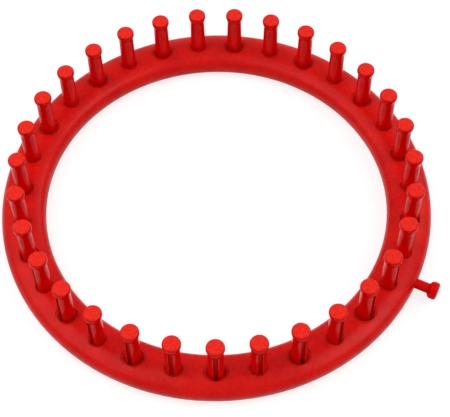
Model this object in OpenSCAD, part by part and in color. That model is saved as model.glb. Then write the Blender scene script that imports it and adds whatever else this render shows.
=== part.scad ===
// Round knitting loom: a hollow two-part ring that carries upright grooved pegs
// and one side peg. Millimetres, +Z up. The origin is the centre of the round
// opening, in the plane where the two halves of the ring meet. The side peg
// points along +X, and the pegs are numbered from it, anticlockwise from above.

/* [Ring] */
// Outer diameter of the ring
ring_d = 240; // [225:1:280]
// Width of the ring's section, from opening to outer wall
ring_w = 24.5; // [23:0.5:28]
// Height of the ring, from its resting face to its crown
ring_h = 15; // [14:0.5:18]
// Radius that rounds the sides of the ring
side_r = 6; // [5:0.25:6.5]
// Height of the straight band at the joint between the halves
land_h = 1; // [0.5:0.25:2]
// How deep the resting face cuts off the bottom of the section
foot_cut = 1; // [0.5:0.1:1.5]
// Wall thickness of both halves
wall = 2.2; // [1.8:0.1:2.6]
// Height of the lip that locates the halves on each other
lip_h = 1.2; // [0.8:0.1:1.6]
// Thickness of the lip
lip_t = 1; // [0.8:0.1:1.2]

/* [Pegs] */
// Number of pegs round the ring
peg_count = 31; // [24:1:33]
// Height of a peg's top above the crown of the ring
peg_rise = 28.5; // [22:0.5:36]
// Diameter of a peg's head
head_d = 9.8; // [9.4:0.1:10.6]
// Height of the head's straight side with its rounded rim
head_h = 2.2; // [2:0.1:3]
// Rounding of the head's top rim
rim_r = 1.5; // [0.8:0.1:1.8]
// Radius of the convex start of the flare under the head
flare_out_r = 2.5; // [1.5:0.1:3]
// Radius of the concave end of the flare, where it meets the neck
flare_in_r = 12; // [8:0.5:14]
// Diameter of the neck
neck_d = 8.2; // [7.6:0.1:8.5]
// Diameter of the shaft at the crown of the ring
shaft_d = 8.7; // [8.4:0.1:8.9]
// Width of the groove down the outward side
groove_w = 2.5; // [1.8:0.1:3.2]
// Depth of the groove, measured in from the neck
groove_t = 1.7; // [1:0.1:2.2]
// Distance from the peg's top down to the start of the groove
groove_start = 5.2; // [4.4:0.1:7]

/* [Peg seats] */
// Width of the flat ring sunk round each through hole
seat_land = 1.2; // [0.8:0.1:1.5]
// Depth of that sunk ring and of the seats of the planted pegs
seat_depth = 0.8; // [0.5:0.1:1]
// Concave rounding at the foot of a planted peg
foot_fillet = 0.4; // [0.3:0.1:0.8]
// Thickness of the flange that holds a through peg
flange_t = 2; // [1.5:0.1:2.5]
// Diameter of the spigot under each peg
spigot_d = 6; // [5:0.1:6.4]
// Depth of the flat that keys the spigot against turning
key_t = 0.7; // [0.4:0.1:1]
// Wall of the bosses and posts inside the ring
boss_wall = 1.4; // [1:0.1:1.6]
// Height of the posts above the joint plane
post_rise = 0.5; // [0.2:0.1:1]

/* [Side peg] */
// Length of the side peg outside the ring
side_len = 12.5; // [10:0.5:16]
// Diameter of the side peg's shaft
side_d = 5.5; // [4.8:0.1:6]
// Diameter of the side peg's head
side_head_d = 9.6; // [9:0.1:11]
// Length of the head's straight side with its rounded rim
side_head_h = 3.2; // [2.5:0.1:4.5]
// Rounding of the side peg's end
side_rim_r = 1.5; // [0.8:0.1:1.8]
// Thickness of its inner flange
side_flange_t = 1.8; // [1.2:0.1:2.2]
// How far its flange reaches past the shaft
side_flange_lip = 1.2; // [0.8:0.1:1.5]
// Thickness of the two saddles that hold its tail
saddle_t = 2; // [1.5:0.1:2.5]

/* [Fits] */
// Gap between a head and the hole that it passes through
pass_gap = 0.15; // [0.1:0.05:0.3]
// Radial gap between a spigot, plug or shaft and its bore
bore_gap = 0.1; // [0.05:0.05:0.2]
// Gap between faces that stop on each other
seat_gap = 0.1; // [0.05:0.05:0.2]

/* [Hidden] */
$fn = 96;
function two_digits(i) = str(i < 10 ? "0" : "", i);
function peg_name(i) = str("peg_", two_digits(i));

plastic_red = [0.82, 0.07, 0.06];
// Overlap that lets joined shapes merge, and that runs cutters past the faces they cut
merge = 0.5;
// How far one arc runs into the next where they blend, so that no hairline is left between them
blend = 0.002;

// Section of the ring: straight land, side arcs, then a crown arc that blends into them
half_h = (ring_h + foot_cut) / 2;
foot_z = -(half_h - foot_cut);
floor_z = foot_z + wall;
peg_circle_r = (ring_d - ring_w) / 2;
side_c = ring_w / 2 - side_r;
arc_h = half_h - land_h / 2;
arc_r = side_r - blend;
crown_r = (pow(side_c, 2) + pow(arc_h, 2) - pow(arc_r, 2)) / (2 * (arc_h - arc_r));
crown_c = half_h - crown_r;
function crown_x(inset) = side_c * (crown_r - inset) / (crown_r - arc_r);
knee_z = crown_c + sqrt(pow(crown_r - wall, 2) - pow(crown_x(wall), 2));
// Distance of the wall's inner face from the section's middle, at a height on its curved part
function inner_x(z) =
    z < knee_z
        ? side_c + sqrt(pow(side_r - wall, 2) - pow(z - land_h / 2, 2))
        : sqrt(pow(crown_r - wall, 2) - pow(z - crown_c, 2));

// Pegs
peg_step = 360 / peg_count;
peg_top = half_h + peg_rise;
head_r = head_d / 2;
neck_r = neck_d / 2;
shaft_r = shaft_d / 2;
spigot_r = spigot_d / 2;
hole_r = head_r + pass_gap;
seat_r = hole_r + seat_land;
seat_z = half_h - seat_depth;
// A foot's rounding starts this far inside the shaft, because the shaft tapers away from it
foot_bite = 0.02;
foot_r = shaft_r - foot_bite + foot_fillet;
plug_r = hole_r - bore_gap;
boss_r = hole_r + boss_wall;
bore_r = spigot_r + bore_gap;
post_r = bore_r + boss_wall;
spigot_end = floor_z + seat_gap;
flange_z = post_rise + seat_gap;
// Depth inside the wall at which bosses, posts and saddles join it
root_z = half_h - wall * 0.75;
function planted(i) = i % 2 == 1;
function peg_angle(i) = (i - 0.5) * peg_step;

// Side peg, measured from the ring's axis
side_r0 = side_d / 2;
outer_r = ring_d / 2;
side_flange_r = side_r0 + side_flange_lip;
// The wall is curved inside, so the flange stops against it with the top of its rim
side_flange_x = peg_circle_r + inner_x(side_flange_r) - seat_gap - side_flange_t;
side_tail_x = side_flange_x - seat_gap - saddle_t;
saddle_w = 2 * side_flange_r;

// Half of the ring's section above the joint, drawn round x = 0 and set in by inset
module half_section(inset) {
    land_x = ring_w / 2 - inset;
    intersection() {
        union() {
            translate([-land_x, 0]) square([2 * land_x, land_h / 2]);
            for (s = [-1, 1]) translate([s * side_c, land_h / 2]) circle(side_r - inset);
            intersection() {
                translate([0, crown_c]) circle(crown_r - inset);
                translate([-crown_x(inset), 0]) square([2 * crown_x(inset), ring_h]);
            }
        }
        translate([-ring_w, 0]) square([2 * ring_w, ring_h]);
    }
}

// The same section turned over, with the bottom cut flat at floor_level
module lower_section(inset, floor_level) {
    intersection() {
        mirror([0, 1]) half_section(inset);
        translate([-ring_w, floor_level]) square([2 * ring_w, -floor_level]);
    }
}

// Turns a section round the ring's axis
module revolve_ring() {
    rotate_extrude($fn = 180) translate([peg_circle_r, 0]) children();
}

// Puts its children at the place of peg i, with +X pointing outwards
module at_peg(i) {
    rotate(peg_angle(i)) translate([peg_circle_r, 0, 0]) children();
}

// Round bar with one flat, which keys a peg in its post
module keyed_bar(r, flat_x, z0, z1) {
    intersection() {
        translate([0, 0, z0]) cylinder(r = r, h = z1 - z0);
        translate([flat_x - 2 * r, -r, z0]) cube([2 * r, 2 * r, z1 - z0]);
    }
}

// Outline of a flared head from neck to top, for revolving: r0 is the neck, r1 the rim
module head_profile(r0, r1, top, side_h, round_r, out_r, in_r) {
    out_z = top - side_h;
    in_z = neck_z(r0, r1, top, side_h, out_r, in_r);
    reach = in_r + out_r;
    meet_x = r0 + in_r - in_r * (reach - (r1 - r0)) / reach;
    meet_z = in_z + in_r * (out_z - in_z) / reach;
    // Concave part, next to the neck
    difference() {
        translate([0, in_z]) square([meet_x, meet_z - in_z]);
        translate([r0 + in_r, in_z]) circle(in_r);
    }
    // Convex part, under the rim
    translate([0, in_z]) square([r0, out_z - in_z + merge]);
    intersection() {
        translate([r1 - out_r, out_z]) circle(out_r);
        translate([0, in_z]) square([2 * r1, out_z - in_z + merge]);
    }
    // Side, rounded rim and flat top
    translate([0, out_z]) square([r1, side_h - round_r]);
    intersection() {
        union() {
            translate([r1 - round_r, top - round_r]) circle(round_r);
            translate([0, top - round_r]) square([r1 - round_r, round_r]);
        }
        translate([0, top - round_r]) square([r1, round_r]);
    }
}

// Height at which the flare of such a head meets its neck
function neck_z(r0, r1, top, side_h, out_r, in_r) =
    top - side_h - sqrt(pow(in_r + out_r - blend, 2) - pow(in_r + out_r - (r1 - r0), 2));

// What both kinds of peg share above the ring: head, neck and tapered shaft
module peg_body(bottom_z) {
    shoulder_z = neck_z(neck_r, head_r, peg_top, head_h, flare_out_r, flare_in_r);
    rotate_extrude() {
        head_profile(neck_r, head_r, peg_top, head_h, rim_r, flare_out_r, flare_in_r);
        polygon([[0, half_h], [shaft_r, half_h], [neck_r, shoulder_z],
            [neck_r - merge, shoulder_z + merge], [0, shoulder_z + merge]]);
        translate([0, bottom_z]) square([shaft_r, half_h - bottom_z]);
    }
}

// The groove that a hook slides in: it opens outwards and has a round floor
module groove(bottom_z) {
    floor_x = neck_r - groove_t + groove_w / 2;
    height = peg_top - groove_start - bottom_z;
    translate([floor_x, 0, bottom_z]) cylinder(d = groove_w, h = height, $fn = 32);
    translate([floor_x, -groove_w / 2, bottom_z]) cube([head_r, groove_w, height]);
}

// Spreads the shaft out to radius r at the given level, with a concave rounding above it
module foot(r, bottom_z, level) {
    round_r = r - shaft_r + foot_bite;
    rotate_extrude() difference() {
        translate([0, bottom_z]) square([r, level + round_r - bottom_z]);
        translate([r, level + round_r]) circle(round_r);
    }
}

// Peg that comes up through a hole: its plug fills the hole and a flange holds it between the halves
module through_peg() {
    difference() {
        union() {
            peg_body(flange_z + merge);
            foot(plug_r, flange_z + merge, seat_z);
        }
        groove(flange_z + flange_t + merge);
    }
    translate([0, 0, flange_z]) cylinder(r = boss_r, h = flange_t);
    keyed_bar(spigot_r, spigot_r - key_t, spigot_end, flange_z + merge);
}

// Peg that stands in a shallow seat: its foot is rounded into the crown
module planted_peg() {
    difference() {
        union() {
            peg_body(seat_z);
            foot(foot_r, seat_z, half_h);
        }
        groove(half_h - seat_depth / 2);
    }
    keyed_bar(spigot_r, spigot_r - key_t, spigot_end, seat_z + seat_depth / 4);
}

module peg(i) {
    color(plastic_red) at_peg(i) if (planted(i)) planted_peg(); else through_peg();
}

// Solid bosses under the crown, before they are bored
module top_bosses() {
    for (i = [1 : peg_count]) at_peg(i) {
        low_z = planted(i) ? flange_z + seat_gap : flange_z + flange_t + seat_gap;
        translate([0, 0, low_z]) cylinder(r = planted(i) ? post_r : boss_r, h = root_z - low_z);
    }
}

// Seats and holes through the crown and its bosses
module top_holes() {
    for (i = [1 : peg_count]) at_peg(i) {
        sunk_r = planted(i) ? foot_r + bore_gap : seat_r;
        translate([0, 0, seat_z]) cylinder(r = sunk_r, h = seat_depth + merge);
        cylinder(r = planted(i) ? bore_r : hole_r, h = half_h);
    }
}

// Block with a half-round notch that holds the side peg's tail from one side of the joint
module saddle(low_z, high_z) {
    difference() {
        translate([side_tail_x, -saddle_w / 2, low_z]) cube([saddle_t, saddle_w, high_z - low_z]);
        side_bore();
    }
}

// Cutter for the side peg's shaft
module side_bore() {
    translate([side_tail_x - merge, 0, 0]) rotate([0, 90, 0])
        cylinder(r = side_r0 + bore_gap, h = outer_r - side_tail_x + 2 * merge);
}

module top_shell() {
    lip_x = ring_w / 2 - wall;
    color(plastic_red) {
        difference() {
            union() {
                revolve_ring() difference() {
                    half_section(0);
                    half_section(wall);
                    // Rebates that take the lips of the lower half
                    for (s = [-1, 1]) translate([s * (lip_x + lip_t / 2), (lip_h + seat_gap) / 2])
                        square([lip_t + 2 * bore_gap, lip_h + seat_gap], center = true);
                }
                top_bosses();
            }
            top_holes();
            side_bore();
        }
        saddle(seat_gap / 2, root_z);
    }
}

module bottom_shell() {
    lip_x = ring_w / 2 - wall;
    post_root = foot_z + wall / 4;
    color(plastic_red) {
        difference() {
            union() {
                revolve_ring() {
                    difference() {
                        lower_section(0, foot_z);
                        lower_section(wall, floor_z);
                    }
                    for (s = [-1, 1]) translate([s * (lip_x + lip_t / 2), 0])
                        square([lip_t, 2 * lip_h], center = true);
                }
                for (i = [1 : peg_count]) at_peg(i)
                    translate([0, 0, post_root])
                        cylinder(r = planted(i) ? post_r : boss_r, h = post_rise - post_root);
            }
            for (i = [1 : peg_count]) at_peg(i)
                keyed_bar(bore_r, bore_r - key_t, floor_z, post_rise + merge);
            side_bore();
        }
        saddle(post_root, -seat_gap / 2);
    }
}

// Side peg: flared head outside, flange and tail held between the two halves
module side_peg() {
    flare = side_head_d / 2 - side_r0;
    top = outer_r + side_len;
    shoulder = neck_z(side_r0, side_head_d / 2, top, side_head_h, flare, flare / 2);
    color(plastic_red) rotate([0, 90, 0]) rotate_extrude() {
        head_profile(side_r0, side_head_d / 2, top, side_head_h, side_rim_r, flare, flare / 2);
        translate([0, side_tail_x]) square([side_r0, shoulder - side_tail_x + merge]);
        translate([0, side_flange_x]) square([side_flange_r, side_flange_t]);
    }
}

top_shell();
bottom_shell();
for (i = [1 : peg_count]) peg(i);
side_peg();
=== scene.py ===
"""Round knitting loom: its looks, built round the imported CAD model.

The object's sizes are in millimetres, as in the part's source, and each mesh is scaled to metres
when it is made. Materials, floor, lamps and camera are in metres. The frame's origin is the
centre of the opening, in the plane where the two halves of the ring meet.
"""

import math

import bmesh
import bpy
import numpy as np
from mathutils import Matrix, Vector


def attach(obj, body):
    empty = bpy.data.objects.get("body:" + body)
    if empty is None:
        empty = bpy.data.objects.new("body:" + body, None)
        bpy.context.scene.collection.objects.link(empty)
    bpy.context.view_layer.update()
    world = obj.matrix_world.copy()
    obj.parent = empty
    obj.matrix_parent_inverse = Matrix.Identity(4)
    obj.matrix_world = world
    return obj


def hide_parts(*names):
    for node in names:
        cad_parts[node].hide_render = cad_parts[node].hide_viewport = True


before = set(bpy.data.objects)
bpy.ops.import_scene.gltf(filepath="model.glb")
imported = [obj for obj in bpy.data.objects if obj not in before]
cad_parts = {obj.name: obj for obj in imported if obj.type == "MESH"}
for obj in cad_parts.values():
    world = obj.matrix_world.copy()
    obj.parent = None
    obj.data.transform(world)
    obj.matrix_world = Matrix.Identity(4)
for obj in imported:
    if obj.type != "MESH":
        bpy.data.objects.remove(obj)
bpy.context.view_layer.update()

MM = 0.001

# Fits, as in the part's source: a head in its hole, a spigot or plug in its bore, faces that meet
PASS_GAP, BORE_GAP, SEAT_GAP = 0.15, 0.1, 0.1

# Ring, as in the part's source
RING_D, RING_W, RING_H, FOOT_CUT = 240.0, 24.5, 15.0, 1.0
SIDE_R, WALL = 6.0, 2.2
RING_R = (RING_D - RING_W) / 2
HALF_W = RING_W / 2
HALF_H = (RING_H + FOOT_CUT) / 2
BASE_Z = FOOT_CUT - HALF_H
# Top of the straight band at the joint, and the rebate that takes the lip of the lower half
LAND = 0.5
REBATE_X, REBATE_TOP = 11.15, 1.3
# The side arcs are drawn round SIDE_C, and the crown arc runs between them
SIDE_C = HALF_W - SIDE_R
ARC_H = HALF_H - LAND
CROWN_R = (SIDE_C**2 + ARC_H**2 - SIDE_R**2) / (2 * (ARC_H - SIDE_R))
CROWN_C = HALF_H - CROWN_R
# Rounding at the seam between the halves, and where it has turned half way
SEAM_R, SEAM_MID = 0.12, 0.035

# Pegs, as in the part's source
PEGS = 31
PEG_STEP = 2 * math.pi / PEGS
TOP = HALF_H + 28.5
HEAD_R, NECK_R, SHAFT_R = 4.9, 4.1, 4.35
HEAD_H, RIM_R = 2.2, 1.5
FLARE_OUT, FLARE_IN = 2.5, 12.0
GROOVE_HALF, GROOVE_T, GROOVE_TOP = 1.25, 1.7, 31.3
SEAT_DEPTH = 0.8
SEAT_Z = HALF_H - SEAT_DEPTH
HOLE_R = HEAD_R + PASS_GAP
PLUG_R = 4.95
FOOT_R, FOOT_FILLET, FOOT_SEAT_R = 4.73, 0.4, 4.83
BOSS_R, POST_R = 6.45, 4.5
SPIGOT_R = 3.0
BORE_R = SPIGOT_R + BORE_GAP
SPIGOT_END = -4.7
FLANGE_Z, FLANGE_TOP = 0.6, 2.6

# Seats of the through pegs, finer than in the part's source: a sunk flat, a narrow shallow gap
# round the peg, and the end of the peg's groove, which lies lower than the gap
SEAT_R = 6.5
GAP_R, GAP_Z = 5.35, 6.7
THROUGH_GROOVE_END = 5.6

# Side peg, as in the part's source, with x measured from the ring's axis
SIDE_TOP, SIDE_OUT = 132.5, 129.3
SIDE_SHAFT_R, SIDE_HEAD_R, SIDE_RIM_R = 2.75, 4.8, 1.5
SIDE_FLANGE_R, SIDE_FLANGE_IN, SIDE_FLANGE_OUT = 3.95, 113.694, 115.494
SIDE_TAIL = 111.594
SIDE_HOLE_R = SIDE_SHAFT_R + BORE_GAP

# Crowned ends, as (position, drop) pairs from the middle outwards, and the drop at the rim. The
# position is a share of the flat end's radius on a peg, and millimetres on the side peg
CROWNED_TOP = ((0.25, 0.004), (0.5, 0.016), (0.75, 0.036), (0.92, 0.055))
CROWNED_DROP = 0.065
SIDE_CROWNED_END = ((0.8, 0.004), (1.6, 0.02), (2.4, 0.045), (3.0, 0.07))
SIDE_CROWNED_DROP = 0.1

# How finely the meshes are divided, and the angles over which their edges stay sharp
POINTS_PER_SHARE = 16
BODY_POINTS, LIP_POINTS, FLOOR_POINTS = 60, 5, 15
HOLE_SIDES, SIDE_PEG_SIDES = 48, 72
PEG_SHARP, SHELL_SHARP = 38, 50


def peg_angle(i):
    return (i - 0.5) * PEG_STEP


def is_planted(i):
    """Odd pegs are planted in a shallow seat, and even ones come up through a hole."""
    return i % 2 == 1


# Shader nodes


def link(tree, a, b):
    tree.links.new(a, b)


def add(tree, kind, **values):
    """A node of that kind, with its sockets set by name, or by number as in _1."""
    node = tree.nodes.new(kind)
    for key, value in values.items():
        node.inputs[int(key[1:]) if key[0] == "_" else key].default_value = value
    return node


def noise(tree, where, scale, detail, rough=0.5):
    node = add(tree, "ShaderNodeTexNoise", Scale=scale, Detail=detail, Roughness=rough)
    link(tree, where, node.inputs["Vector"])
    return node.outputs["Fac"]


def spread(tree, value, low, high, to_low, to_high):
    """Maps value from one range to another, held at the ends."""
    node = add(tree, "ShaderNodeMapRange", _1=low, _2=high, _3=to_low, _4=to_high)
    node.clamp = True
    link(tree, value, node.inputs[0])
    return node.outputs[0]


def feed(tree, socket, value):
    """Sets a socket to a number or colour, or links another node's output to it."""
    if isinstance(value, (tuple, float)):
        socket.default_value = value
    else:
        link(tree, value, socket)


def mix_colour(tree, share, a, b):
    """Colour between a and b. Inputs 6 and 7 and output 2 are a Mix node's colour sockets."""
    node = tree.nodes.new("ShaderNodeMix")
    node.data_type = "RGBA"
    feed(tree, node.inputs[0], share)
    feed(tree, node.inputs[6], a)
    feed(tree, node.inputs[7], b)
    return node.outputs[2]


def maths(tree, what, a, b):
    node = tree.nodes.new("ShaderNodeMath")
    node.operation = what
    feed(tree, node.inputs[0], a)
    feed(tree, node.inputs[1], b)
    return node


def plus(tree, a, b):
    """Sum of two values, held between 0 and 1."""
    node = maths(tree, "ADD", a, b)
    node.use_clamp = True
    return node.outputs[0]


def times(tree, a, b):
    return maths(tree, "MULTIPLY", a, b).outputs[0]


def openness(tree, distance, inside=False):
    """How open the space within a distance is: 1 is open. Inside, it is low at convex edges."""
    node = add(tree, "ShaderNodeAmbientOcclusion", Distance=distance)
    node.samples = 8
    node.inside = inside
    return node.outputs["AO"]


# Red plastic

# Scales of the noises, per metre: a patch is about one over the scale wide
CLOUDS, HANDLED, RUBBED, MOTTLE, SPECKLE, GRAIN = 55.0, 120.0, 420.0, 480.0, 900.0, 2600.0
# Width of the rubbed edges
EDGE_REACH = 0.0006
IOR = 1.46


def peg_painted_light_and_shade(tree, where, colour, wear_and_highlight, corner):
    """Painted light and shade by a peg's height: painted shade at its foot and in a band round its
    head's rim and side, and a painted highlight on its top, speckled at random."""
    split = tree.nodes.new("ShaderNodeSeparateXYZ")
    link(tree, where, split.inputs[0])

    def fade(low, high, to_low, to_high):
        """Goes from one value to the other between two heights in millimetres."""
        return spread(tree, split.outputs["Z"], low * MM, high * MM, to_low, to_high)

    # Painted shade at the foot, fading up the shaft. The side peg lies lower than the ring's crown
    # and has no foot, so it is left out
    foot_z = HALF_H + 0.3
    foot = times(tree, fade(foot_z, foot_z + 3.2, 0.8, 0.0), fade(5.0, 5.6, 0.0, 1.0))
    colour = mix_colour(tree, foot, colour, corner)
    # Painted shade in a band round the head's rim and side
    band = times(tree, fade(TOP - 3.0, TOP - 1.6, 0.0, 1.0), fade(TOP - 1.3, TOP - 0.4, 1.0, 0.0))
    colour = mix_colour(tree, times(tree, band, 0.6), colour, corner)
    # Painted highlight on the head's top, broken up by a random speckle
    speckle = spread(tree, noise(tree, where, SPECKLE, 3.0), 0.35, 0.65, 0.3, 0.85)
    top = times(tree, fade(TOP - 0.8, TOP - 0.2, 0.0, 1.0), speckle)
    return mix_colour(tree, top, colour, wear_and_highlight)


def relief(tree, where, flow, handled, mottle, grain):
    """Normal that carries the moulding skin, the flow lines and shallow dents."""
    scaled = add(tree, "ShaderNodeMapping", Scale=flow)
    link(tree, where, scaled.inputs["Vector"])
    lines = noise(tree, scaled.outputs[0], 1.0, 3.0, 0.55)
    skin = add(tree, "ShaderNodeBump", Strength=0.2, Distance=0.00005)
    link(tree, plus(tree, times(tree, grain, 0.35), times(tree, lines, 0.5)), skin.inputs["Height"])
    dents = add(tree, "ShaderNodeBump", Strength=0.5, Distance=0.0003)
    dappled = plus(tree, times(tree, handled, 0.6), times(tree, mottle, 0.25))
    link(tree, dappled, dents.inputs["Height"])
    link(tree, skin.outputs[0], dents.inputs["Normal"])
    return dents.outputs[0]


def red_plastic(name, deep, base, wear_and_highlight, corner, rough, specular, flow, reach, on_pegs=False):
    """Satin moulded plastic with a cloudy pigment, rubbed edges and painted shade in corners.

    The pigment runs from deep to base, edges are rubbed to wear_and_highlight, and painted shade
    turns the space within reach of a wall to corner. On pegs, painted light and shade by height is
    added. Flow holds the scales of the flow lines along each axis.
    """
    mat = bpy.data.materials.new(name)
    mat.use_nodes = True
    tree = mat.node_tree
    bsdf = tree.nodes["Principled BSDF"]
    bsdf.inputs["IOR"].default_value = IOR
    bsdf.inputs["Specular IOR Level"].default_value = specular
    where = tree.nodes.new("ShaderNodeTexCoord").outputs["Object"]
    mottle = noise(tree, where, MOTTLE, 4.0, 0.6)
    handled = noise(tree, where, HANDLED, 4.0, 0.55)
    grain = noise(tree, where, GRAIN, 2.0)

    # Pigment: slow clouds, and finer mottling inside them
    clouds = spread(tree, noise(tree, where, CLOUDS, 3.0), 0.35, 0.65, 0.0, 0.55)
    share = plus(tree, clouds, spread(tree, mottle, 0.38, 0.64, 0.0, 0.45))
    colour = mix_colour(tree, share, deep, base)

    # Corners: painted shade darkens the seats and the feet of the pegs, where the space is closed
    space = openness(tree, reach)
    closed = spread(tree, space, 0.95, 0.4, 0.0, 0.9)
    colour = mix_colour(tree, closed, colour, corner)

    # Edges: rubbed paler in patches where they stand out, but not in corners
    edge = spread(tree, openness(tree, EDGE_REACH, inside=True), 0.92, 0.55, 0.0, 1.0)
    patchy = spread(tree, noise(tree, where, RUBBED, 3.0), 0.4, 0.62, 0.1, 1.0)
    rub = times(tree, times(tree, edge, patchy), spread(tree, space, 0.40, 0.70, 0.0, 1.0))
    colour = mix_colour(tree, times(tree, rub, 0.75), colour, wear_and_highlight)
    # On the pegs, painted light and shade by height
    if on_pegs:
        colour = peg_painted_light_and_shade(tree, where, colour, wear_and_highlight, corner)
    link(tree, colour, bsdf.inputs["Base Color"])

    # Gloss: handled patches are smoother, and rubbed edges and corners duller
    roughness = spread(tree, handled, 0.3, 0.7, rough - 0.05, rough + 0.06)
    roughness = plus(tree, roughness, spread(tree, grain, 0.3, 0.7, 0.0, 0.04))
    roughness = plus(tree, roughness, times(tree, rub, 0.1))
    roughness = plus(tree, roughness, times(tree, closed, 0.7))
    link(tree, roughness, bsdf.inputs["Roughness"])
    link(tree, relief(tree, where, flow, handled, mottle, grain), bsdf.inputs["Normal"])
    return mat


SHELL_RED = red_plastic(
    "shell_red_plastic",
    deep=(0.53, 0.0003, 0.0, 1.0),
    base=(0.74, 0.0052, 0.0009, 1.0),
    # Rubbed edges only, on the ring
    wear_and_highlight=(0.86, 0.085, 0.060, 1.0),
    # Painted shade in closed spaces
    corner=(0.42, 0.001, 0.0, 1.0),
    rough=0.32,
    specular=0.165,
    flow=(150.0, 150.0, 900.0),
    reach=0.0018,
)
PEG_RED = red_plastic(
    "peg_red_plastic",
    deep=(0.61, 0.0003, 0.0, 1.0),
    base=(0.79, 0.0024, 0.0004, 1.0),
    # Rubbed edges, and the painted highlight on the heads' tops
    wear_and_highlight=(0.80, 0.038, 0.023, 1.0),
    # Painted shade in closed spaces, at the feet and round the heads' rims
    corner=(0.44, 0.001, 0.0, 1.0),
    rough=0.12,
    specular=0.060,
    flow=(900.0, 900.0, 120.0),
    reach=0.0120,
    on_pegs=True,
)

# Mesh helpers


def new_mesh(name, verts, faces):
    """Mesh from points in millimetres, with doubled points joined and its faces turned outwards."""
    mesh = bpy.data.meshes.new(name)
    mesh.from_pydata((np.asarray(verts) * MM).tolist(), [], faces)
    bm = bmesh.new()
    bm.from_mesh(mesh)
    bmesh.ops.remove_doubles(bm, verts=bm.verts, dist=1e-6)
    bmesh.ops.recalc_face_normals(bm, faces=bm.faces)
    bm.to_mesh(mesh)
    bm.free()
    return mesh


def shade(mesh, sharp):
    """Smooth shading, apart from edges over that angle in degrees."""
    mesh.shade_smooth()
    mesh.set_sharp_from_angle(angle=math.radians(sharp))


def finished_mesh(name, verts, faces, material, sharp):
    mesh = new_mesh(name, verts, faces)
    shade(mesh, sharp)
    mesh.materials.append(material)
    return mesh


def place_piece(name, mesh, matrix, node):
    """Puts a mesh in the scene, where it stands for one CAD node."""
    obj = bpy.data.objects.new(name, mesh)
    bpy.context.scene.collection.objects.link(obj)
    obj.matrix_world = matrix
    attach(obj, "root")
    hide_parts(node)
    return obj


def loft(rows, cap_first=False, cap_last=False):
    """Points and quads between rows that close on themselves; a cap is a fan to a middle point."""
    rows = [np.asarray(r, float) for r in rows]
    n = len(rows[0])
    verts = np.concatenate(rows)
    k = np.arange(n)
    nxt = (k + 1) % n
    faces = []
    for j in range(len(rows) - 1):
        a, b = j * n, (j + 1) * n
        faces += np.stack([a + k, a + nxt, b + nxt, b + k], axis=1).tolist()
    for flag, start in ((cap_first, 0), (cap_last, (len(rows) - 1) * n)):
        if flag:
            middle = verts[start:start + n].mean(axis=0)
            verts = np.vstack([verts, middle])
            faces += [[start + i, start + (i + 1) % n, len(verts) - 1] for i in range(n)]
    return verts, faces


def turned(points, sides):
    """Closed solid turned round the X axis, from (radius, x) points."""
    turn = np.arange(sides) * 2 * math.pi / sides
    rows = []
    for r, x in points:
        rows.append(np.column_stack([np.full(sides, x), r * np.cos(turn), r * np.sin(turn)]))
    return loft(rows, cap_first=True, cap_last=True)


def join(parts):
    verts, faces, base = [], [], 0
    for v, f in parts:
        verts.append(v)
        faces += [[i + base for i in face] for face in f]
        base += len(v)
    return np.concatenate(verts), faces


def arc(cx, cz, r, a0, a1, n):
    """Points of an arc in a section, angles in degrees."""
    turn = [math.radians(a) for a in np.linspace(a0, a1, n)]
    return [(cx + r * math.cos(t), cz + r * math.sin(t)) for t in turn]


def bend(start, corner, end, n):
    """Points of a curve that is drawn towards a corner, without its start."""
    share = np.linspace(0, 1, n + 1)[1:]
    return [(1 - t)**2 * start + 2 * t * (1 - t) * corner + t * t * end for t in share]


# Pegs


def flare(r0, r1, out_z, out_r, in_r, n):
    """Section of a flared head from its side down to its neck, and the neck's height."""
    reach = out_r + in_r
    drop = math.sqrt(reach**2 - (reach - (r1 - r0))**2)
    in_z = out_z - drop
    turn = math.degrees(math.atan2(drop, reach - (r1 - r0)))
    convex = arc(r1 - out_r, out_z, out_r, 0, -turn, n)
    concave = arc(r0 + in_r, in_z, in_r, 180 - turn, 180, n)
    return convex + concave[1:], in_z


HEAD_SECTION, SHOULDER_Z = flare(NECK_R, HEAD_R, TOP - HEAD_H, FLARE_OUT, FLARE_IN, 8)
# Rounding along the groove's edges
EDGE = 0.22


def shaft_r(z):
    """Radius of the tapered shaft between the crown of the ring and the neck."""
    share = (z - HALF_H) / (SHOULDER_Z - HALF_H)
    return SHAFT_R + (NECK_R - SHAFT_R) * share


def section_r(z):
    """Radius of the peg at a height below its head's side."""
    if z >= SHOULDER_Z:
        points = sorted((p[1], p[0]) for p in HEAD_SECTION)
        return float(np.interp(z, [p[0] for p in points], [p[1] for p in points]))
    return shaft_r(z)


def peg_row(r, z, depth=0.0):
    """Section at height z. The groove opens towards +X; depth runs from 0, no groove, to 1."""
    size = max(r, NECK_R)
    lip = math.asin((GROOVE_HALF + EDGE) / size)
    turn = np.linspace(lip, 2 * math.pi - lip, BODY_POINTS)
    body = [(r * math.cos(a), r * math.sin(a)) for a in turn]

    # One side of the groove with its rounded lip, the round floor, and the other side
    mouth = math.sqrt(size * size - GROOVE_HALF * GROOVE_HALF)
    start = np.array([r * math.cos(lip), -r * math.sin(lip)])
    corner = np.array([mouth, -GROOVE_HALF])
    side = bend(start, corner, np.array([mouth - EDGE, -GROOVE_HALF]), LIP_POINTS)
    floor_x = NECK_R - GROOVE_T + GROOVE_HALF
    floor = [np.array([floor_x - GROOVE_HALF * math.sin(a), -GROOVE_HALF * math.cos(a)])
             for a in np.linspace(0, math.pi, FLOOR_POINTS)]
    path = side + floor + [np.array([p[0], -p[1]]) for p in reversed(side)]

    turn = np.linspace(-lip, lip, len(path) + 2)[1:-1]
    plain = np.array([(r * math.cos(a), r * math.sin(a)) for a in turn])
    path = plain * (1 - depth) + np.array(path) * depth
    points = np.array(body + [tuple(p) for p in path])
    return np.column_stack([points, np.full(len(points), z)])


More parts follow.
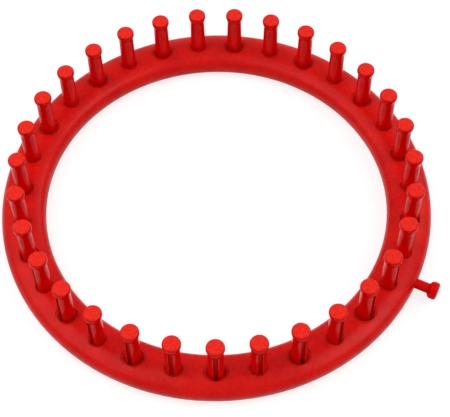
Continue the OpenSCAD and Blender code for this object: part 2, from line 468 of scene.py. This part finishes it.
def head_rows():
    """Head: a slightly crowned top, a rounded rim, its side, and the flare down to the groove."""
    flat_r = HEAD_R - RIM_R
    points = [(flat_r * share, TOP - drop) for share, drop in CROWNED_TOP]
    points += arc(flat_r, TOP - CROWNED_DROP - RIM_R, RIM_R, 90, 0, 9)
    points.append((HEAD_R, TOP - HEAD_H + 0.3))
    points += [(r, z) for r, z in HEAD_SECTION if z > GROOVE_TOP + EDGE + 0.02]
    return [peg_row(r, z) for r, z in points]


def shaft_rows():
    """Shaft: the groove's upper end, with a rounded lip and a flat ceiling, and the groove."""
    rows = []
    for a in np.linspace(0, 90, 5):
        t = math.radians(a)
        z = GROOVE_TOP + EDGE * (1 - math.sin(t))
        rows.append(peg_row(section_r(z), z, EDGE / GROOVE_T * (1 - math.cos(t))))
    rows += [peg_row(section_r(GROOVE_TOP), GROOVE_TOP, depth) for depth in (0.35, 0.7, 1.0)]
    levels = np.linspace(GROOVE_TOP - 0.4, HALF_H + FOOT_FILLET + 0.3, 11)
    return rows + [peg_row(section_r(z), z, 1.0) for z in levels]


def foot_rows(r, level, fillet, groove_end):
    """Foot: a concave rounding out to radius r, a soft edge, and the groove's lower end."""
    rows = []
    for a in (20, 32, 45, 58, 70, 80):
        t = math.radians(a)
        z = level + fillet * (1 - math.sin(t))
        rows.append(peg_row(max(shaft_r(max(z, HALF_H)), r - fillet * math.cos(t)), z, 1.0))
    for back, drop in ((0.10, 0.0), (0.03, 0.03), (0.0, 0.1)):
        rows.append(peg_row(r - back, level - drop, 1.0))
    return rows + [peg_row(r, groove_end, depth) for depth in (1.0, 0.6, 0.3, 0.0)]


def peg_mesh(planted):
    """Peg along Z with its groove towards +X: a flared head, a tapered shaft and its seat end."""
    rows = head_rows() + shaft_rows()
    if planted:
        rows += foot_rows(FOOT_R, HALF_H, FOOT_FILLET, HALF_H - SEAT_DEPTH / 2)
        hidden = [(FOOT_R, SEAT_Z), (SPIGOT_R, SEAT_Z)]
    else:
        rows.append(peg_row(SHAFT_R, HALF_H, 1.0))
        rows += foot_rows(PLUG_R, GAP_Z, PLUG_R - SHAFT_R, THROUGH_GROOVE_END)
        hidden = [(PLUG_R, FLANGE_TOP), (BOSS_R, FLANGE_TOP)]
        hidden += [(BOSS_R, FLANGE_Z), (SPIGOT_R, FLANGE_Z)]
    rows += [peg_row(r, z) for r, z in hidden + [(SPIGOT_R, SPIGOT_END)]]
    return loft(rows, cap_first=True, cap_last=True)


def build_pegs():
    """All pegs: each kind shares one mesh, which is placed with its groove outwards."""
    meshes = {}
    for i in range(1, PEGS + 1):
        planted = is_planted(i)
        node = "peg_%02d" % i
        name = node + "_body"
        if planted not in meshes:
            meshes[planted] = finished_mesh(name, *peg_mesh(planted), PEG_RED, PEG_SHARP)
        matrix = Matrix.Rotation(peg_angle(i), 4, "Z") @ Matrix.Translation((RING_R * MM, 0, 0))
        place_piece(name, meshes[planted], matrix, node)


# Upper half of the ring

# Each peg has a share of the ring, which is this wide on each side of the circle of the pegs on
# the crown and on the inner skin. The rest of the section is turned round the ring's axis
OUTER_HALF, INNER_HALF = 8.0, 7.6
# Rounded edge where a seat's wall runs out into the crown, as (offset, share) pairs: the offset is
# in edge widths, and the share is how far the row has risen from the seat's floor to the crown
SEAT_EDGE = ((-1, 0), (-0.6, 0.03), (-0.3, 0.12), (0, 0.4), (0.25, 0.68), (0.55, 0.86),
             (1, 0.95), (1.5, 0.99), (2.2, 1))
SEAT_EDGE_W, FOOT_SEAT_EDGE_W = 0.12, 0.06
# Wall of the gap round a through peg and the seat's floor beyond it, as (offset, drop) pairs: the
# drop is measured down from the floor
GAP_EDGE = ((0, 0.3), (0, 0.2), (0.02, 0.13), (0.08, 0.06), (0.16, 0.02),
            (0.25, 0), (0.45, 0), (0.65, 0))
# A row between the bore and the wall of a planted peg's seat
FOOT_SEAT_MID = 4.2


def crown(x, inset=0.0):
    """Height of the crown arc at a distance from the section's middle."""
    return CROWN_C + math.sqrt((CROWN_R - inset)**2 - x * x)


def side_section():
    """Half of the section outside the pegs' shares: crown arc, side arc, land, seam, inner skin."""
    side_in = SIDE_R - WALL
    meet = SIDE_C * CROWN_R / (CROWN_R - SIDE_R)
    meet_in = SIDE_C * (CROWN_R - WALL) / (CROWN_R - SIDE_R)
    lean = math.degrees(math.acos((meet - SIDE_C) / SIDE_R))
    lean_in = math.degrees(math.acos((meet_in - SIDE_C) / side_in))
    low = math.degrees(math.asin((REBATE_TOP - LAND) / side_in))
    points = [(x, crown(x)) for x in np.linspace(OUTER_HALF, meet, 4)]
    points += arc(SIDE_C, LAND, SIDE_R, lean, 0, 14)[1:]
    points += [(HALF_W, LAND * 0.5), (HALF_W, SEAM_R)]
    points += [(HALF_W - SEAM_MID, SEAM_MID), (HALF_W - SEAM_R, 0.0)]
    points += [(REBATE_X, 0.0), (REBATE_X, REBATE_TOP)]
    points += arc(SIDE_C, LAND, side_in, low, lean_in, 8)
    return points + [(x, crown(x, WALL)) for x in np.linspace(meet_in, INNER_HALF, 3)[1:]]


def side_rows(sign):
    """The section turned round the ring's axis: the outer side for sign 1, the inner for -1."""
    turn = np.arange(PEGS * POINTS_PER_SHARE) * PEG_STEP / POINTS_PER_SHARE
    rows = []
    for x, z in side_section():
        r = RING_R + sign * x
        rows.append(np.column_stack([r * np.cos(turn), r * np.sin(turn), np.full(len(turn), z)]))
    return rows


def share_border(half):
    """Border of one peg's share, seen from the peg: outer arc, side, inner arc, side."""
    k = POINTS_PER_SHARE
    turn = (np.arange(k) / k - 0.5) * PEG_STEP
    along = RING_R + half - 2 * half * np.arange(k) / k
    outer, inner = np.full(k, RING_R + half), np.full(k, RING_R - half)
    rho = np.concatenate([outer, along, inner, 2 * RING_R - along])
    phi = np.concatenate([turn, np.full(k, PEG_STEP / 2), -turn, np.full(k, -PEG_STEP / 2)])
    return np.column_stack([rho * np.cos(phi) - RING_R, rho * np.sin(phi)])


OUTER_BORDER, INNER_BORDER = share_border(OUTER_HALF), share_border(INNER_HALF)
# Direction of each point of the border, which the circles round the peg repeat
ROUND = np.arctan2(OUTER_BORDER[:, 1], OUTER_BORDER[:, 0])


def circle(r):
    return np.column_stack([r * np.cos(ROUND), r * np.sin(ROUND)])


def crown_heights(xy, inset=0.0):
    """Height of the crown, or of a skin that far inside it, at points seen from the peg."""
    return np.array([crown(math.hypot(RING_R + x, y) - RING_R, inset) for x, y in xy])


def skin_row(xy, inset=0.0):
    return np.column_stack([xy, crown_heights(xy, inset)])


def flat_row(r, z):
    return np.column_stack([circle(r), np.full(len(ROUND), z)])


def seat_row(r, share=0.0, drop=0.0):
    """Row in a seat: share 0 is its floor, or the crown where that is lower, and share 1 is the
    crown. Drop lowers the whole row."""
    xy = circle(r)
    top = crown_heights(xy)
    return np.column_stack([xy, np.minimum(top, SEAT_Z) * (1 - share) + top * share - drop])


def share_rows(planted):
    """Rows of one peg's share: inner skin, down its boss, up the bore, the seat, and the crown."""
    wall_r, bore_r = (POST_R, BORE_R) if planted else (BOSS_R, HOLE_R)
    low_z = (FLANGE_Z if planted else FLANGE_TOP) + SEAT_GAP
    rows = [skin_row(circle(wall_r) * (1 - t) + INNER_BORDER * t, WALL) for t in (1.0, 0.5, 0.0)]
    rows += [flat_row(wall_r, low_z), flat_row(bore_r, low_z)]
    if planted:
        seat_r, edge_w = FOOT_SEAT_R, FOOT_SEAT_EDGE_W
        rows += [flat_row(bore_r, SEAT_Z), seat_row(FOOT_SEAT_MID)]
    else:
        seat_r, edge_w = SEAT_R, SEAT_EDGE_W
        rows += [flat_row(bore_r, GAP_Z), flat_row(GAP_R, GAP_Z)]
        rows += [seat_row(GAP_R + offset, drop=drop) for offset, drop in GAP_EDGE]
    rows += [seat_row(seat_r + offset * edge_w, share) for offset, share in SEAT_EDGE]
    last = circle(seat_r + SEAT_EDGE[-1][0] * edge_w)
    return rows + [skin_row(last * (1 - t) + OUTER_BORDER * t) for t in (0.12, 0.3, 0.5, 0.75, 1.0)]


def at_peg(row, i):
    """A row seen from a peg, moved to the place of peg i."""
    c, s = math.cos(peg_angle(i)), math.sin(peg_angle(i))
    x, y = RING_R + row[:, 0], row[:, 1]
    return np.column_stack([x * c - y * s, x * s + y * c, row[:, 2]])


def build_top_shell():
    parts = [loft(side_rows(sign)) for sign in (1, -1)]
    shares = {planted: share_rows(planted) for planted in (True, False)}
    for i in range(1, PEGS + 1):
        parts.append(loft([at_peg(row, i) for row in shares[is_planted(i)]]))
    mesh = finished_mesh("top_shell_skin", *join(parts), SHELL_RED, SHELL_SHARP)
    shell = place_piece("top_shell_skin", mesh, Matrix.Identity(4), "top_shell")
    cut_side_hole(shell)


def cut_side_hole(shell):
    """Cuts the side peg's hole through the wall, from the hollow inside it to the open air."""
    inside, outside = RING_R + 3.0, RING_R + HALF_W + 3.0
    ends = [(SIDE_HOLE_R, inside), (SIDE_HOLE_R, outside)]
    mesh = new_mesh("side_hole_cutter", *turned(ends, HOLE_SIDES))
    cutter = bpy.data.objects.new("side_hole_cutter", mesh)
    bpy.context.scene.collection.objects.link(cutter)
    cut = shell.modifiers.new("side_hole", "BOOLEAN")
    cut.operation = "DIFFERENCE"
    cut.solver = "EXACT"
    cut.object = cutter
    bpy.context.view_layer.update()
    depsgraph = bpy.context.evaluated_depsgraph_get()
    shell.data = bpy.data.meshes.new_from_object(shell.evaluated_get(depsgraph))
    shell.modifiers.clear()
    shade(shell.data, SHELL_SHARP)
    bpy.data.objects.remove(cutter)


# Side peg


def build_side_peg():
    """A round head with a crowned end, a stem, and the flange and tail held inside the ring."""
    flare_r = SIDE_HEAD_R - SIDE_SHAFT_R
    points = [(r, SIDE_TOP - drop) for r, drop in SIDE_CROWNED_END]
    rim_x = SIDE_TOP - SIDE_CROWNED_DROP - SIDE_RIM_R
    points += arc(SIDE_HEAD_R - SIDE_RIM_R, rim_x, SIDE_RIM_R, 88, 0, 10)
    points += flare(SIDE_SHAFT_R, SIDE_HEAD_R, SIDE_OUT, flare_r, flare_r / 2, 10)[0]
    points += [(SIDE_SHAFT_R, x) for x in (RING_D / 2 + 3.0, RING_D / 2, SIDE_FLANGE_OUT)]
    points += [(SIDE_FLANGE_R, SIDE_FLANGE_OUT), (SIDE_FLANGE_R, SIDE_FLANGE_IN)]
    points += [(SIDE_SHAFT_R, SIDE_FLANGE_IN), (SIDE_SHAFT_R, SIDE_TAIL)]
    mesh = finished_mesh("side_peg_body", *turned(points, SIDE_PEG_SIDES), PEG_RED, PEG_SHARP)
    place_piece("side_peg_body", mesh, Matrix.Identity(4), "side_peg")


def finish_bottom_shell():
    """The lower half keeps its CAD shape and gets the ring's plastic."""
    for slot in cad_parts["bottom_shell"].material_slots:
        slot.material = SHELL_RED


# Floor, light and camera

FLOOR_SIZE = 9.0
FLOOR_GREY, SHADOW_GREY = 0.60, 0.30
# The floor's own glow, near the object and far from it, and the distances between which it grows
GLOW_NEAR, GLOW_FAR = 0.76, 0.92
NEAR, FAR = 0.3, 1.4
# Light from the horizon and from above, and the height on the sky at which it is reached
HORIZON, SKY, SKY_HEIGHT = 0.55, 0.57, 0.6


def grey(value):
    return (value, value, value, 1.0)


def floor_material():
    """Gives light as plain diffuse does; the camera and reflections see white with a shadow."""
    mat = bpy.data.materials.new("white_floor")
    mat.use_nodes = True
    tree = mat.node_tree
    tree.nodes.remove(tree.nodes["Principled BSDF"])
    path = tree.nodes.new("ShaderNodeLightPath")
    seen = plus(tree, path.outputs["Is Camera Ray"], path.outputs["Is Glossy Ray"])
    seen = plus(tree, seen, path.outputs["Is Transmission Ray"])
    plain = add(tree, "ShaderNodeBsdfDiffuse", Color=grey(FLOOR_GREY))
    shadow = add(tree, "ShaderNodeBsdfDiffuse", Color=grey(SHADOW_GREY))
    glow = add(tree, "ShaderNodeEmission", Color=grey(1.0))
    away = tree.nodes.new("ShaderNodeVectorMath")
    away.operation = "LENGTH"
    link(tree, tree.nodes.new("ShaderNodeTexCoord").outputs["Object"], away.inputs[0])
    growth = spread(tree, away.outputs["Value"], NEAR, FAR, GLOW_NEAR, GLOW_FAR)
    link(tree, growth, glow.inputs["Strength"])
    white = tree.nodes.new("ShaderNodeAddShader")
    link(tree, shadow.outputs[0], white.inputs[0])
    link(tree, glow.outputs[0], white.inputs[1])
    mix = tree.nodes.new("ShaderNodeMixShader")
    link(tree, seen, mix.inputs[0])
    link(tree, plain.outputs[0], mix.inputs[1])
    link(tree, white.outputs[0], mix.inputs[2])
    link(tree, mix.outputs[0], tree.nodes["Material Output"].inputs["Surface"])
    return mat


def build_floor():
    bpy.ops.mesh.primitive_plane_add(size=FLOOR_SIZE, location=(0, 0, BASE_Z * MM))
    floor = bpy.context.object
    floor.name = "floor"
    floor.data.materials.append(floor_material())


def build_world():
    """White behind the object, and an almost even pale grey light round it."""
    world = bpy.data.worlds.new("studio")
    bpy.context.scene.world = world
    world.use_nodes = True
    tree = world.node_tree
    background = tree.nodes["Background"]
    split = tree.nodes.new("ShaderNodeSeparateXYZ")
    link(tree, tree.nodes.new("ShaderNodeTexCoord").outputs["Generated"], split.inputs[0])
    ramp = tree.nodes.new("ShaderNodeValToRGB")
    link(tree, split.outputs["Z"], ramp.inputs[0])
    for stop, place, value in zip(ramp.color_ramp.elements, (0.0, SKY_HEIGHT), (HORIZON, SKY)):
        stop.position = place
        stop.color = grey(value)
    seen = tree.nodes.new("ShaderNodeLightPath").outputs["Is Camera Ray"]
    link(tree, mix_colour(tree, seen, ramp.outputs[0], grey(1.0)), background.inputs["Color"])
    background.inputs["Strength"].default_value = 1.0


def area_light(name, where, size, watts):
    """Round lamp that looks at the origin."""
    data = bpy.data.lights.new(name, "AREA")
    data.shape = "DISK"
    data.size = size
    data.energy = watts
    light = bpy.data.objects.new(name, data)
    bpy.context.scene.collection.objects.link(light)
    light.location = where
    light.rotation_euler = (-Vector(where)).to_track_quat("-Z", "Y").to_euler()


def build_camera():
    """The photograph's camera, fitted to the ring's outline and the peg heads in it. It looks at
    a target 16 mm below the crown, and both are then turned round the ring's axis by spin."""
    elevation, roll, spin = math.radians(57.50), math.radians(-0.828), math.radians(26.64)
    distance = 0.70287
    target = Vector((0.004791, 0.000924, (HALF_H - 16.0) * MM))
    back = Vector((0, -math.cos(elevation), math.sin(elevation)))
    right = Vector((1, 0, 0))
    up = right.cross(-back)
    turned_right = right * math.cos(roll) + up * math.sin(roll)
    turned_up = up * math.cos(roll) - right * math.sin(roll)
    matrix = Matrix((turned_right, turned_up, back)).transposed().to_4x4()
    matrix.translation = target + back * distance
    data = bpy.data.cameras.new("camera")
    data.sensor_width = 36.0
    data.lens = 98.965
    data.clip_start = 0.01
    camera = bpy.data.objects.new("camera", data)
    bpy.context.scene.collection.objects.link(camera)
    camera.matrix_world = Matrix.Rotation(spin, 4, "Z") @ matrix
    bpy.context.scene.camera = camera


build_pegs()
build_top_shell()
build_side_peg()
finish_bottom_shell()
build_floor()
build_world()
area_light("key", (1.46, 0.46, 2.05), size=1.5, watts=17.6)
area_light("side", (0.55, 1.39, 1.01), size=0.7, watts=3.4)
area_light("fill", (-0.50, -0.32, 0.90), size=1.1, watts=5.0)
build_camera()
bpy.context.scene.view_settings.view_transform = "Standard"
